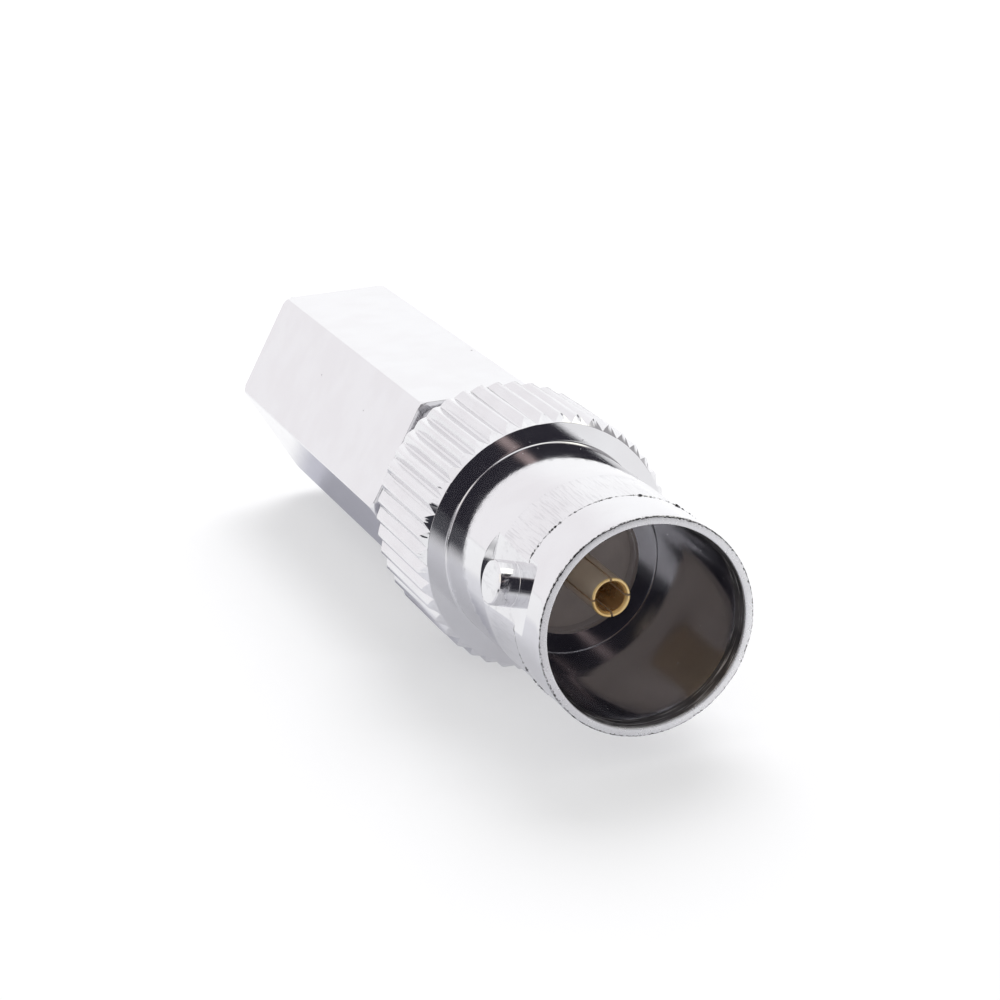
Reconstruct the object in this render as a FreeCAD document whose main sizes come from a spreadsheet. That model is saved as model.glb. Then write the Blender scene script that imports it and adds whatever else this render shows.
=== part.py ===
import FreeCAD, Part
import Sketcher
import math
import os

# Female bayonet coaxial connector, lying on its side. The axis runs along Y: the mouth opens
# towards -Y with its rim at the origin, and the cable leaves towards +Y. Lengths are millimetres,
# depths are counted from the mouth's rim, and the hexagonal sleeve has one flat facing up.
sizes = {
    # Barrel, mouth and bore
    "barrel_diameter": 9.65,
    "rim_bevel": 0.04,
    "mouth_diameter": 8.94,
    "lead_in_diameter": 8.68,
    "lead_in_depth": 0.85,
    "bore_diameter": 8.12,
    "bore_taper_depth": 5.3,
    "bore_depth": 8.4,
    "lip_diameter": 6.2,
    "lip_thickness": 0.8,
    "cavity_diameter": 6.6,
    # Milled band round the barrel, with the two lugs that it leaves standing
    "collar_length": 3.0,
    "band_length": 3.04,
    "band_cut": 0.07,
    "band_runout": 0.12,
    "lug_count": 2,
    "lug_span": 11.0,
    "lug_diameter": 1.96,
    "lug_depth": 4.3,
    "lug_bevel": 0.08,
    "lug_flat_cut": 0.265,
    "lug_flat_diameter": 5.5,
    "lug_roll": 16.0,
    # Knurled ring
    "ring_depth": 11.33,
    "ring_length": 6.67,
    "ring_diameter": 12.12,
    "ring_root_fillet": 0.06,
    "tooth_count": 45,
    "tooth_height": 0.32,
    "tooth_land": 0.12,
    "tooth_shoulder_width": 0.44,
    "tooth_shoulder_drop": 0.07,
    "tooth_bevel_length": 0.36,
    "tooth_rim": 0.03,
    # Threaded neck behind the ring
    "neck_diameter": 8.0,
    "neck_length": 8.0,
    "neck_bevel": 0.3,
    "relief_length": 0.8,
    "relief_cut": 0.35,
    # Hexagonal sleeve
    "sleeve_gap": 2.1,
    "sleeve_length": 22.3,
    "sleeve_flats": 9.54,
    "sleeve_edge_radius": 0.12,
    "sleeve_end_bevel": 0.16,
    "sleeve_thread_bevel": 0.3,
    "cable_hole_diameter": 6.8,
    "cable_hole_bevel": 0.3,
    # Centre contact
    "contact_depth": 3.9,
    "contact_diameter": 1.78,
    "contact_tip_bevel": 0.07,
    "socket_diameter": 1.34,
    "socket_depth": 5.2,
    "socket_bevel": 0.06,
    "slot_count": 4,
    "slot_width": 0.1,
    "slot_length": 4.8,
    "contact_flange_diameter": 2.8,
    "contact_flange_thickness": 0.8,
    "solder_cup_reach": 2.8,
    "solder_cup_diameter": 1.2,
    "solder_cup_depth": 2.6,
    "solder_cup_opening": 1.6,
    "solder_cup_sill": 0.15,
    # Pieces inside the cavity and the sleeve
    "front_insulator_length": 3.8,
    "insulator_bevel": 0.1,
    "retaining_ring_length": 1.5,
    "retaining_ring_recess": 4.5,
    "retaining_ring_hole": 4.4,
    "clamp_nose_length": 2.2,
    "clamp_flange_thickness": 1.2,
    "clamp_hole_diameter": 4.2,
    "clamp_cone_length": 0.9,
    "clamp_cone_front_diameter": 6.8,
    "clamp_cone_rear_diameter": 5.6,
    "gasket_length": 3.6,
    "gasket_hole_diameter": 6.1,
    "washer_thickness": 0.8,
    "washer_hole_diameter": 6.3,
    # Named clearances, each on the radius, and how far a cut runs past the metal
    "thread_clearance": 0.02,
    "press_clearance": 0.01,
    "bush_clearance": 0.05,
    "gasket_clearance": 0.1,
    "overrun": 0.2,
}

doc = FreeCAD.newDocument("bnc_female_connector")
sheet = doc.addObject("Spreadsheet::Sheet", "Sizes")
for row, (alias, value) in enumerate(sizes.items(), start=1):
    sheet.set(f"A{row}", alias)
    sheet.set(f"B{row}", str(value))
    sheet.setAlias(f"B{row}", alias)
doc.recompute()

# Radii and depths that several pieces share, worked out from the sizes above
barrel_radius = "Sizes.barrel_diameter / 2"
bore_radius = "Sizes.bore_diameter / 2"
cavity_radius = "Sizes.cavity_diameter / 2"
crest_radius = "Sizes.ring_diameter / 2"
root_radius = f"({crest_radius} - Sizes.tooth_height)"
neck_radius = "Sizes.neck_diameter / 2"
thread_radius = f"({neck_radius} + Sizes.thread_clearance)"
contact_radius = "Sizes.contact_diameter / 2"
flange_radius = "Sizes.contact_flange_diameter / 2"
lug_flat_height = f"({barrel_radius} - Sizes.lug_flat_cut)"

lip_rear = "(Sizes.bore_depth + Sizes.lip_thickness)"
ring_rear = "(Sizes.ring_depth + Sizes.ring_length)"
neck_rear = f"({ring_rear} + Sizes.neck_length)"
sleeve_front = f"({ring_rear} + Sizes.sleeve_gap)"
front_insulator_rear = f"({lip_rear} + Sizes.front_insulator_length)"
retaining_ring_rear = f"({neck_rear} - Sizes.retaining_ring_recess)"
rear_insulator_rear = f"({retaining_ring_rear} - Sizes.retaining_ring_length)"
contact_rear = f"({rear_insulator_rear} + Sizes.solder_cup_reach)"
clamp_flange_rear = f"({neck_rear} + Sizes.clamp_flange_thickness)"
gasket_rear = f"({clamp_flange_rear} + Sizes.gasket_length)"
washer_rear = f"({gasket_rear} + Sizes.washer_thickness)"


def origin_item(body, role):
    return next(item for item in body.Origin.OriginFeatures if item.Role == role)


def new_body(label):
    body = doc.addObject("PartDesign::Body", label)
    body.Label = label
    return body


def new_sketch(body, name, plane, offset=None):
    sketch = body.newObject("Sketcher::SketchObject", name)
    sketch.AttachmentSupport = [(origin_item(body, plane), "")]
    sketch.MapMode = "FlatFace"
    if offset:
        sketch.setExpression("AttachmentOffset.Base.z", offset)
    return sketch


def bind_point(sketch, item, vertex, start, across, along):
    # Ties one point of the outline to its two distances from the sketch's origin
    for kind, axis, distance, value in (
        ("DistanceX", -2, across, start.x),
        ("DistanceY", -1, along, start.y),
    ):
        if distance == "0":
            sketch.addConstraint(Sketcher.Constraint("PointOnObject", item, vertex, axis))
        else:
            index = sketch.addConstraint(Sketcher.Constraint(kind, -1, 1, item, vertex, value))
            sketch.setExpression(f"Constraints[{index}]", distance)


def draw_outline(sketch, corners):
    # Closed outline of straight lines through the corners, given as distances across and along
    count = len(corners)
    spread = 5.0
    starts = []
    for step in range(count):
        turn = 2 * math.pi * step / count
        offset = FreeCAD.Vector(math.cos(turn), math.sin(turn), 0)
        starts.append(FreeCAD.Vector(2 * spread, 2 * spread, 0) + offset * spread)
    lines = []
    for step in range(count):
        line = Part.LineSegment(starts[step], starts[(step + 1) % count])
        lines.append(sketch.addGeometry(line, False))
    for step in range(count):
        after = lines[(step + 1) % count]
        sketch.addConstraint(Sketcher.Constraint("Coincident", lines[step], 2, after, 1))
    for line, start, (across, along) in zip(lines, starts, corners):
        bind_point(sketch, line, 1, start, across, along)


def turn_profile(body, name, kind, corners):
    # A profile of radius and depth, swept right round the Y axis
    sketch = new_sketch(body, name + "_profile", "XY_Plane")
    draw_outline(sketch, corners)
    feature = body.newObject("PartDesign::" + kind, name)
    feature.Profile = sketch
    feature.ReferenceAxis = (sketch, ["V_Axis"])
    feature.Angle = 360
    return feature


def repeat_round_axis(body, name, feature, count):
    pattern = body.newObject("PartDesign::PolarPattern", name)
    pattern.Originals = [feature]
    pattern.Axis = (origin_item(body, "Y_Axis"), [""])
    pattern.Angle = 360
    pattern.setExpression("Occurrences", count)
    body.Tip = pattern
    return pattern


def turned_piece(label, corners):
    body = new_body(label)
    turn_profile(body, label + "_turning", "Revolution", corners)
    return body


# Shell: barrel, lugs, knurled ring and threaded neck, turned from one bar
def make_shell():
    body = new_body("shell")
    band_radius = f"({barrel_radius} - Sizes.band_cut)"
    band_rear = "(Sizes.collar_length + Sizes.band_length)"
    relief_radius = f"({neck_radius} - Sizes.relief_cut)"
    relief_rear = f"({ring_rear} + Sizes.relief_length)"
    tooth_rim_radius = f"({root_radius} + Sizes.tooth_rim)"
    turn_profile(
        body,
        "shell_turning",
        "Revolution",
        [
            ("Sizes.mouth_diameter / 2", "0"),
            (f"{barrel_radius} - Sizes.rim_bevel", "0"),
            (barrel_radius, "Sizes.rim_bevel"),
            (barrel_radius, "Sizes.collar_length"),
            (band_radius, "Sizes.collar_length"),
            (band_radius, f"{band_rear} - Sizes.band_runout"),
            (barrel_radius, band_rear),
            (barrel_radius, "Sizes.ring_depth - Sizes.ring_root_fillet"),
            (f"{barrel_radius} + Sizes.ring_root_fillet", "Sizes.ring_depth"),
            (tooth_rim_radius, "Sizes.ring_depth"),
            (crest_radius, "Sizes.ring_depth + Sizes.tooth_bevel_length"),
            (crest_radius, f"{ring_rear} - Sizes.tooth_bevel_length"),
            (tooth_rim_radius, ring_rear),
            (relief_radius, ring_rear),
            (relief_radius, f"{relief_rear} - Sizes.relief_cut"),
            (neck_radius, relief_rear),
            (neck_radius, f"{neck_rear} - Sizes.neck_bevel"),
            (f"{neck_radius} - Sizes.neck_bevel", neck_rear),
            (cavity_radius, neck_rear),
            (cavity_radius, lip_rear),
            ("Sizes.lip_diameter / 2", lip_rear),
            ("Sizes.lip_diameter / 2", "Sizes.bore_depth"),
            (bore_radius, "Sizes.bore_depth"),
            (bore_radius, "Sizes.bore_taper_depth"),
            ("Sizes.lead_in_diameter / 2", "Sizes.lead_in_depth"),
        ],
    )

    # Knurl: one V groove in line with a lug, repeated round the ring. Its upper sides lean out, so
    # each tooth has a rounded crest.
    pitch = "(pi * Sizes.ring_diameter / Sizes.tooth_count)"
    edge_half = f"({pitch} - Sizes.tooth_land) / 2"
    shoulder_half = f"({pitch} - Sizes.tooth_shoulder_width) / 2"
    shoulder_radius = f"({crest_radius} - Sizes.tooth_shoulder_drop)"
    above_crest = f"({crest_radius} + Sizes.overrun)"
    groove_sketch = new_sketch(
        body, "groove_profile", "XZ_Plane", "-(Sizes.ring_depth - Sizes.overrun)"
    )
    draw_outline(
        groove_sketch,
        [
            (f"-{root_radius}", "0"),
            (f"-{shoulder_radius}", f"-{shoulder_half}"),
            (f"-{crest_radius}", f"-{edge_half}"),
            (f"-{above_crest}", f"-{edge_half}"),
            (f"-{above_crest}", edge_half),
            (f"-{crest_radius}", edge_half),
            (f"-{shoulder_radius}", shoulder_half),
        ],
    )
    groove = body.newObject("PartDesign::Pocket", "groove")
    groove.Profile = groove_sketch
    groove.setExpression("Length", "Sizes.ring_length + 2 * Sizes.overrun")
    repeat_round_axis(body, "knurl", groove, "Sizes.tooth_count")

    # Flats that the hollow mill leaves round each lug
    flat_sketch = new_sketch(body, "lug_flat_profile", "YZ_Plane", lug_flat_height)
    start = FreeCAD.Vector(10, 0, 0)
    ring = flat_sketch.addGeometry(Part.Circle(start, FreeCAD.Vector(0, 0, 1), 2), False)
    bind_point(flat_sketch, ring, 3, start, "Sizes.lug_depth", "0")
    index = flat_sketch.addConstraint(Sketcher.Constraint("Diameter", ring, 4))
    flat_sketch.setExpression(f"Constraints[{index}]", "Sizes.lug_flat_diameter")
    lug_flat = body.newObject("PartDesign::Pocket", "lug_flat")
    lug_flat.Profile = flat_sketch
    lug_flat.Reversed = True
    lug_flat.setExpression("Length", "Sizes.lug_flat_cut + Sizes.overrun")
    repeat_round_axis(body, "lug_flats", lug_flat, "Sizes.lug_count")

    # Round lugs, turned about an axis square to the barrel, rooted half-way into its wall
    lug_sketch = new_sketch(body, "lug_profile", "XY_Plane")
    lug_root = f"({lug_flat_height} + {bore_radius}) / 2"
    lug_end = "Sizes.lug_span / 2"
    lug_side = "(Sizes.lug_depth + Sizes.lug_diameter / 2)"
    draw_outline(
        lug_sketch,
        [
            (lug_root, "Sizes.lug_depth"),
            (lug_end, "Sizes.lug_depth"),
            (lug_end, f"{lug_side} - Sizes.lug_bevel"),
            (f"{lug_end} - Sizes.lug_bevel", lug_side),
            (lug_root, lug_side),
        ],
    )
    lug = body.newObject("PartDesign::Revolution", "lug")
    lug.Profile = lug_sketch
    lug.ReferenceAxis = (lug_sketch, ["Edge1"])
    lug.Angle = 360
    repeat_round_axis(body, "lugs", lug, "Sizes.lug_count")
    body.setExpression("Placement.Rotation.Angle", "Sizes.lug_roll")
    body.Placement.Rotation = FreeCAD.Rotation(FreeCAD.Vector(0, 1, 0), sizes["lug_roll"])
    return body


# Sleeve: hexagonal bar, bored for the neck's thread from the front and for the cable from the rear
def make_sleeve():
    body = new_body("hex_sleeve")
    corner = "(Sizes.sleeve_flats / sqrt(3))"
    flat = "Sizes.sleeve_flats / 2"
    hexagon = new_sketch(body, "hexagon", "XZ_Plane")
    draw_outline(
        hexagon,
        [
            (corner, "0"),
            (f"{corner} / 2", flat),
            (f"-{corner} / 2", flat),
            (f"-{corner}", "0"),
            (f"-{corner} / 2", f"-{flat}"),
            (f"{corner} / 2", f"-{flat}"),
        ],
    )
    bar = body.newObject("PartDesign::Pad", "hex_bar")
    bar.Profile = hexagon
    bar.Reversed = True
    bar.setExpression("Length", "Sizes.sleeve_length")
    doc.recompute()

    long_edges = []
    for number, edge in enumerate(bar.Shape.Edges, start=1):
        first, last = edge.Vertexes[0].Point, edge.Vertexes[-1].Point
        if abs(abs(last.y - first.y) - bar.Length.Value) < 1e-6:
            long_edges.append(f"Edge{number}")
    rounding = body.newObject("PartDesign::Fillet", "edge_rounding")
    rounding.Base = (bar, long_edges)
    rounding.setExpression("Radius", "Sizes.sleeve_edge_radius")

    # Both ends are bevelled in the lathe, so only the six corners lose metal
    length = "Sizes.sleeve_length"
    bevel_inner = f"({corner} - Sizes.sleeve_end_bevel)"
    bevel_outer = f"({corner} + Sizes.sleeve_end_bevel)"
    turn_profile(
        body,
        "front_bevel",
        "Groove",
        [
            (bevel_inner, "0"),
            (bevel_outer, "0"),
            (bevel_outer, "Sizes.sleeve_end_bevel * 2"),
        ],
    )
    turn_profile(
        body,
        "rear_bevel",
        "Groove",
        [
            (bevel_inner, length),
            (bevel_outer, f"{length} - Sizes.sleeve_end_bevel * 2"),
            (bevel_outer, length),
        ],
    )
    shoulder = f"({washer_rear} - {sleeve_front})"
    cable_radius = "Sizes.cable_hole_diameter / 2"
    turn_profile(
        body,
        "boring",
        "Groove",
        [
            ("0", "0"),
            (f"{thread_radius} + Sizes.sleeve_thread_bevel", "0"),
            (thread_radius, "Sizes.sleeve_thread_bevel"),
            (thread_radius, shoulder),
            (cable_radius, shoulder),
            (cable_radius, f"{length} - Sizes.cable_hole_bevel"),
            (f"{cable_radius} + Sizes.cable_hole_bevel", length),
            ("0", length),
        ],
    )
    body.setExpression("Placement.Base.y", sleeve_front)
    return body


# Centre contact: slotted socket in front, flange in the middle, solder cup behind
def make_contact():
    body = new_body("centre_contact")
    socket_radius = "Sizes.socket_diameter / 2"
    socket_rear = "(Sizes.contact_depth + Sizes.socket_depth)"
    cup_radius = "Sizes.solder_cup_diameter / 2"
    flange_rear = f"({front_insulator_rear} + Sizes.contact_flange_thickness)"
    turn_profile(
        body,
        "contact_turning",
        "Revolution",
        [
            (f"{socket_radius} + Sizes.socket_bevel", "Sizes.contact_depth"),
            (f"{contact_radius} - Sizes.contact_tip_bevel", "Sizes.contact_depth"),
            (contact_radius, "Sizes.contact_depth + Sizes.contact_tip_bevel"),
            (contact_radius, front_insulator_rear),
            (flange_radius, front_insulator_rear),
            (flange_radius, flange_rear),
            (contact_radius, flange_rear),
            (contact_radius, contact_rear),
            (cup_radius, contact_rear),
            (cup_radius, f"{contact_rear} - Sizes.solder_cup_depth"),
            ("0", f"{contact_rear} - Sizes.solder_cup_depth"),
            ("0", socket_rear),
            (socket_radius, socket_rear),
            (socket_radius, "Sizes.contact_depth + Sizes.socket_bevel"),
        ],
    )

    # Four slots from the tip let the socket spring open round the mating pin
    slot_sketch = new_sketch(body, "slot_profile", "XY_Plane")
    slot_inner = f"({socket_radius} - Sizes.overrun)"
    slot_outer = f"({contact_radius} + Sizes.overrun)"
    draw_outline(
        slot_sketch,
        [
            (slot_inner, "Sizes.contact_depth - Sizes.overrun"),
            (slot_outer, "Sizes.contact_depth - Sizes.overrun"),
            (slot_outer, "Sizes.contact_depth + Sizes.slot_length"),
            (slot_inner, "Sizes.contact_depth + Sizes.slot_length"),
        ],
    )
    slot = body.newObject("PartDesign::Pocket", "slot")
    slot.Profile = slot_sketch
    slot.Midplane = True
    slot.setExpression("Length", "Sizes.slot_width")
    repeat_round_axis(body, "slots", slot, "Sizes.slot_count")

    # The solder cup is open on its upper side, where the wire is laid in
    scoop_sketch = new_sketch(body, "scoop_profile", "YZ_Plane")
    scoop_front = f"{contact_rear} - Sizes.solder_cup_opening"
    scoop_rear = f"{contact_rear} + Sizes.overrun"
    draw_outline(
        scoop_sketch,
        [
            (scoop_front, "Sizes.solder_cup_sill"),
            (scoop_rear, "Sizes.solder_cup_sill"),
            (scoop_rear, slot_outer),
            (scoop_front, slot_outer),
        ],
    )
    scoop = body.newObject("PartDesign::Pocket", "scoop")
    scoop.Profile = scoop_sketch
    scoop.Midplane = True
    scoop.setExpression("Length", "Sizes.contact_diameter + 2 * Sizes.overrun")
    return body


# Insulators: the front one seats on the shell's lip, and the rear one traps the contact's flange
def make_insulators():
    outer = f"({cavity_radius} - Sizes.press_clearance)"
    hole = f"({contact_radius} + Sizes.press_clearance)"
    pocket = f"({flange_radius} + Sizes.press_clearance)"
    pocket_rear = f"({front_insulator_rear} + Sizes.contact_flange_thickness)"
    bevel = "Sizes.insulator_bevel"
    turned_piece(
        "front_insulator",
        [
            (hole, lip_rear),
            (f"{outer} - {bevel}", lip_rear),
            (outer, f"{lip_rear} + {bevel}"),
            (outer, front_insulator_rear),
            (hole, front_insulator_rear),
        ],
    )
    turned_piece(
        "rear_insulator",
        [
            (pocket, front_insulator_rear),
            (outer, front_insulator_rear),
            (outer, f"{rear_insulator_rear} - {bevel}"),
            (f"{outer} - {bevel}", rear_insulator_rear),
            (hole, rear_insulator_rear),
            (hole, pocket_rear),
            (pocket, pocket_rear),
        ],
    )


# Retaining ring: pressed into the neck, a set recess from its end, behind the insulators
def make_retaining_ring():
    outer = f"({cavity_radius} - Sizes.press_clearance)"
    turned_piece(
        "retaining_ring",
        [
            ("Sizes.retaining_ring_hole / 2", rear_insulator_rear),
            (outer, rear_insulator_rear),
            (outer, retaining_ring_rear),
            ("Sizes.retaining_ring_hole / 2", retaining_ring_rear),
        ],
    )


# Braid clamp: its nose sits in the neck, its flange on the neck's end, its cone in the gasket
def make_braid_clamp():
    nose = f"({cavity_radius} - Sizes.bush_clearance)"
    flange = f"({thread_radius} - Sizes.bush_clearance)"
    hole = "Sizes.clamp_hole_diameter / 2"
    cone_rear = f"({clamp_flange_rear} + Sizes.clamp_cone_length)"
    turned_piece(
        "braid_clamp",
        [
            (hole, f"{neck_rear} - Sizes.clamp_nose_length"),
            (nose, f"{neck_rear} - Sizes.clamp_nose_length"),
            (nose, neck_rear),
            (flange, neck_rear),
            (flange, clamp_flange_rear),
            ("Sizes.clamp_cone_front_diameter / 2", clamp_flange_rear),
            ("Sizes.clamp_cone_rear_diameter / 2", cone_rear),
            (hole, cone_rear),
        ],
    )


# Gasket: rubber ring squeezed on to the cable, hollowed in front for the clamp's cone
def make_gasket():
    outer = f"({thread_radius} - Sizes.gasket_clearance)"
    hollow = "(Sizes.clamp_cone_front_diameter / 2 + Sizes.gasket_clearance)"
    hole = "Sizes.gasket_hole_diameter / 2"
    turned_piece(
        "cable_gasket",
        [
            (hollow, clamp_flange_rear),
            (outer, clamp_flange_rear),
            (outer, gasket_rear),
            (hole, gasket_rear),
            (hole, f"{clamp_flange_rear} + Sizes.clamp_cone_length"),
        ],
    )


# Washer: lets the sleeve turn without twisting the gasket
def make_washer():
    outer = f"({thread_radius} - Sizes.bush_clearance)"
    hole = "Sizes.washer_hole_diameter / 2"
    turned_piece(
        "thrust_washer",
        [(hole, gasket_rear), (outer, gasket_rear), (outer, washer_rear), (hole, washer_rear)],
    )


make_shell()
make_sleeve()
make_contact()
make_insulators()
make_retaining_ring()
make_braid_clamp()
make_gasket()
make_washer()
doc.recompute()

pieces = [item for item in doc.Objects if item.TypeId == "PartDesign::Body"]
for item in doc.Objects:
    if "Invalid" in item.State or "Error" in item.State:
        raise RuntimeError(f"{item.Label} failed: {item.State}")
for piece in pieces:
    if piece.Shape.isNull() or not piece.Shape.isValid() or len(piece.Shape.Solids) != 1:
        raise RuntimeError(f"{piece.Label} is not one valid solid")

os.makedirs("parts", exist_ok=True)
for piece in pieces:
    piece.Shape.exportStep(f"parts/{piece.Label}.step")
    box = piece.Shape.BoundBox
    print(
        f"{piece.Label}: {box.XLength:.2f} x {box.YLength:.2f} x {box.ZLength:.2f},"
        f" y {box.YMin:.2f} to {box.YMax:.2f}, volume {piece.Shape.Volume:.2f}"
    )
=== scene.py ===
import math

import bpy
import bmesh
from mathutils import Matrix, Vector, noise


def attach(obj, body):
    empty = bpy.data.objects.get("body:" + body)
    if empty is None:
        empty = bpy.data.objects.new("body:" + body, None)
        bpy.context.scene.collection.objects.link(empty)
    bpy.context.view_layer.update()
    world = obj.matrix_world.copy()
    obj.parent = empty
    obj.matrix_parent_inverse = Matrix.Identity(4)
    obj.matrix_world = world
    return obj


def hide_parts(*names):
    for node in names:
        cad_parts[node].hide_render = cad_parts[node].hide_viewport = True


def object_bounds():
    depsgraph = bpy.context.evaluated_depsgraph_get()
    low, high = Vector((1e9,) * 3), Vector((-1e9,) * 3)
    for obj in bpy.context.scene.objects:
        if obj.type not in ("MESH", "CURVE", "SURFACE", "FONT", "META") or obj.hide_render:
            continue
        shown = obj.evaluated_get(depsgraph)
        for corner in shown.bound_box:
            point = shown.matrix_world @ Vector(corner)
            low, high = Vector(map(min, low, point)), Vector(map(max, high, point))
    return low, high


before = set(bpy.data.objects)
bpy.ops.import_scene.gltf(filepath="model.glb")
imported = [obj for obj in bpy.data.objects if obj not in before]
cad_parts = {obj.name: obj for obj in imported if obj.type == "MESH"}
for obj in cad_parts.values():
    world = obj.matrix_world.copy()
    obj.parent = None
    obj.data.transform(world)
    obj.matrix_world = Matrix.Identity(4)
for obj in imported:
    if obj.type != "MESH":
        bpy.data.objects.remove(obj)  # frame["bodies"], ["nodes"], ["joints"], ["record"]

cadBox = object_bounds()
print("frame loaded:", len(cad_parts), "nodes")

# Female bayonet coaxial connector, lying on its side. The axis runs along Y with the mouth at the
# origin. Shapes are made in millimetres round that axis and scaled to metres at the end; angles
# run from +X towards +Z.
mm = 0.001
weldDistance = 0.0008  # points closer than this become one
sliverSize = 0.0002  # edges shorter than this are dropped
scene = bpy.context.scene


# Outlines and loops

def roundCorners(corners, radius, steps=3):
    # closed outline of (radius, depth) corners, each eased by its own third value or by radius
    eased = []
    for i, corner in enumerate(corners):
        here = Vector(corner[:2])
        size = corner[2] if len(corner) > 2 else radius
        before = Vector(corners[i - 1][:2]) - here
        after = Vector(corners[(i + 1) % len(corners)][:2]) - here
        halfAngle = before.angle(after) / 2
        reach = min(size / math.tan(halfAngle), 0.45 * before.length, 0.45 * after.length)
        start = here + before.normalized() * reach
        end = here + after.normalized() * reach
        for k in range(steps + 1):
            t = k / steps
            eased.append(start * (1 - t) ** 2 + here * 2 * t * (1 - t) + end * t**2)
    return [(p.x, p.y) for p in eased]


def polar(angle, radius, depth):
    return Vector((radius * math.cos(angle), depth, radius * math.sin(angle)))


def circles(angles, outline):
    # points at these angles, in one row for each (radius, depth) of the outline
    return [[polar(a, radius, depth) for a in angles] for radius, depth in outline]


def turnFrom(angle, centre):
    # signed angle from centre, within half a turn
    return (angle - centre + math.pi) % (2 * math.pi) - math.pi


def addLoop(mesh, points):
    return [mesh.verts.new(p) for p in points]


def addObject(name, data):
    thing = bpy.data.objects.new(name, data)
    scene.collection.objects.link(thing)
    return thing


def bridge(mesh, first, second):
    # skin between two closed loops; the second may have a whole number of times fewer points
    step = len(first) // len(second)
    for j in range(len(second)):
        near = [first[(j * step + k) % len(first)] for k in range(step + 1)]
        mesh.faces.new(near + [second[(j + 1) % len(second)], second[j]])


def addQuad(mesh, near, far, j, after):
    mesh.faces.new([near[j], near[after], far[after], far[j]])


def bridgeOn(mesh, loop, rows):
    # skin from a loop through further rows of points; gives back the last loop
    for points in rows:
        following = addLoop(mesh, points)
        bridge(mesh, loop, following)
        loop = following
    return loop


def wrap(mesh, rows):
    # skin over rows of points, and back from the last row to the first
    loops = [addLoop(mesh, points) for points in rows]
    for i, loop in enumerate(loops):
        bridge(mesh, loops[i - 1], loop)


def finishPiece(mesh, name, materials, node, pickFinish=None, creaseAngle=lambda place: 50):
    # closes the mesh, shades it smooth and hands it to the frame
    bmesh.ops.remove_doubles(mesh, verts=mesh.verts, dist=weldDistance)
    bmesh.ops.dissolve_degenerate(mesh, edges=mesh.edges, dist=sliverSize)
    bmesh.ops.recalc_face_normals(mesh, faces=mesh.faces)
    for face in mesh.faces:
        face.smooth = True
        if pickFinish:
            finish = pickFinish(face.calc_center_median(), face.normal)
            face.material_index = materials.index(finish)
    for edge in mesh.edges:
        middle = (edge.verts[0].co + edge.verts[1].co) / 2
        if len(edge.link_faces) == 2 and edge.calc_face_angle() > math.radians(creaseAngle(middle)):
            edge.smooth = False
    data = bpy.data.meshes.new(name)
    mesh.to_mesh(data)
    mesh.free()
    data.transform(Matrix.Scale(mm, 4))
    for material in materials:
        data.materials.append(material)
    piece = addObject(name, data)
    weighting = piece.modifiers.new("evenShading", "WEIGHTED_NORMAL")
    weighting.mode = "FACE_AREA"
    weighting.weight = 60
    weighting.keep_sharp = True
    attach(piece, "root")
    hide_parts(node)
    print("made", name, len(data.polygons), "faces")


def turnedPiece(name, outline, materials, node, ease=0.03, columns=192):
    mesh = bmesh.new()
    angles = [2 * math.pi * j / columns for j in range(columns)]
    wrap(mesh, circles(angles, roundCorners(outline, ease)))
    finishPiece(mesh, name, materials, node)


# Materials

def feed(tree, socket, value):
    # links another node's output, or sets a plain value
    if isinstance(value, bpy.types.NodeSocket):
        tree.links.new(value, socket)
    else:
        socket.default_value = value


def addNode(tree, kind, inputs=(), **settings):
    node = tree.nodes.new(kind)
    for name, value in settings.items():
        setattr(node, name, value)
    for key, value in dict(inputs).items():
        feed(tree, node.inputs[key], value)
    return node


def calculate(tree, operation, *values):
    return addNode(tree, "ShaderNodeMath", enumerate(values), operation=operation).outputs[0]


def combine(tree, operation, *values):
    keys = (0, "Scale") if operation == "SCALE" else range(len(values))
    node = addNode(tree, "ShaderNodeVectorMath", zip(keys, values), operation=operation)
    return node.outputs["Value" if operation == "LENGTH" else "Vector"]


def span(tree, value, low, high, toLow=0.0, toHigh=1.0):
    inputs = {"Value": value, "From Min": low, "From Max": high, "To Min": toLow, "To Max": toHigh}
    return addNode(tree, "ShaderNodeMapRange", inputs, interpolation_type="SMOOTHSTEP").outputs[0]


def grain(tree, vector, scale, detail=2.0, roughness=0.5):
    inputs = {"Vector": vector, "Scale": scale, "Detail": detail, "Roughness": roughness}
    return addNode(tree, "ShaderNodeTexNoise", inputs).outputs["Fac"]


def shaftPlaces(tree):
    # millimetre place, direction away from the axis, distance from the axis and depth
    place = combine(tree, "SCALE", addNode(tree, "ShaderNodeTexCoord").outputs["Object"], 1 / mm)
    across = combine(tree, "MULTIPLY", place, (1.0, 0.0, 1.0))
    outward = combine(tree, "NORMALIZE", across)
    distance = combine(tree, "LENGTH", across)
    depth = addNode(tree, "ShaderNodeSeparateXYZ", {0: place}).outputs["Y"]
    return place, outward, distance, depth


def markPlaces(tree, parts, vector, scale):
    # places nearly alike in one direction, so that noise there reads as turning or tool marks
    base = addNode(tree, "ShaderNodeCombineXYZ", parts).outputs[0]
    return combine(tree, "ADD", base, combine(tree, "SCALE", vector, scale))


def blendColours(tree, factor, first, second):
    return addNode(tree, "ShaderNodeMix", {0: factor, 6: first, 7: second}, data_type="RGBA").outputs[2]


def startMaterial(name):
    material = bpy.data.materials.new(name)
    material.use_nodes = True
    return material, material.node_tree, material.node_tree.nodes["Principled BSDF"]


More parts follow.
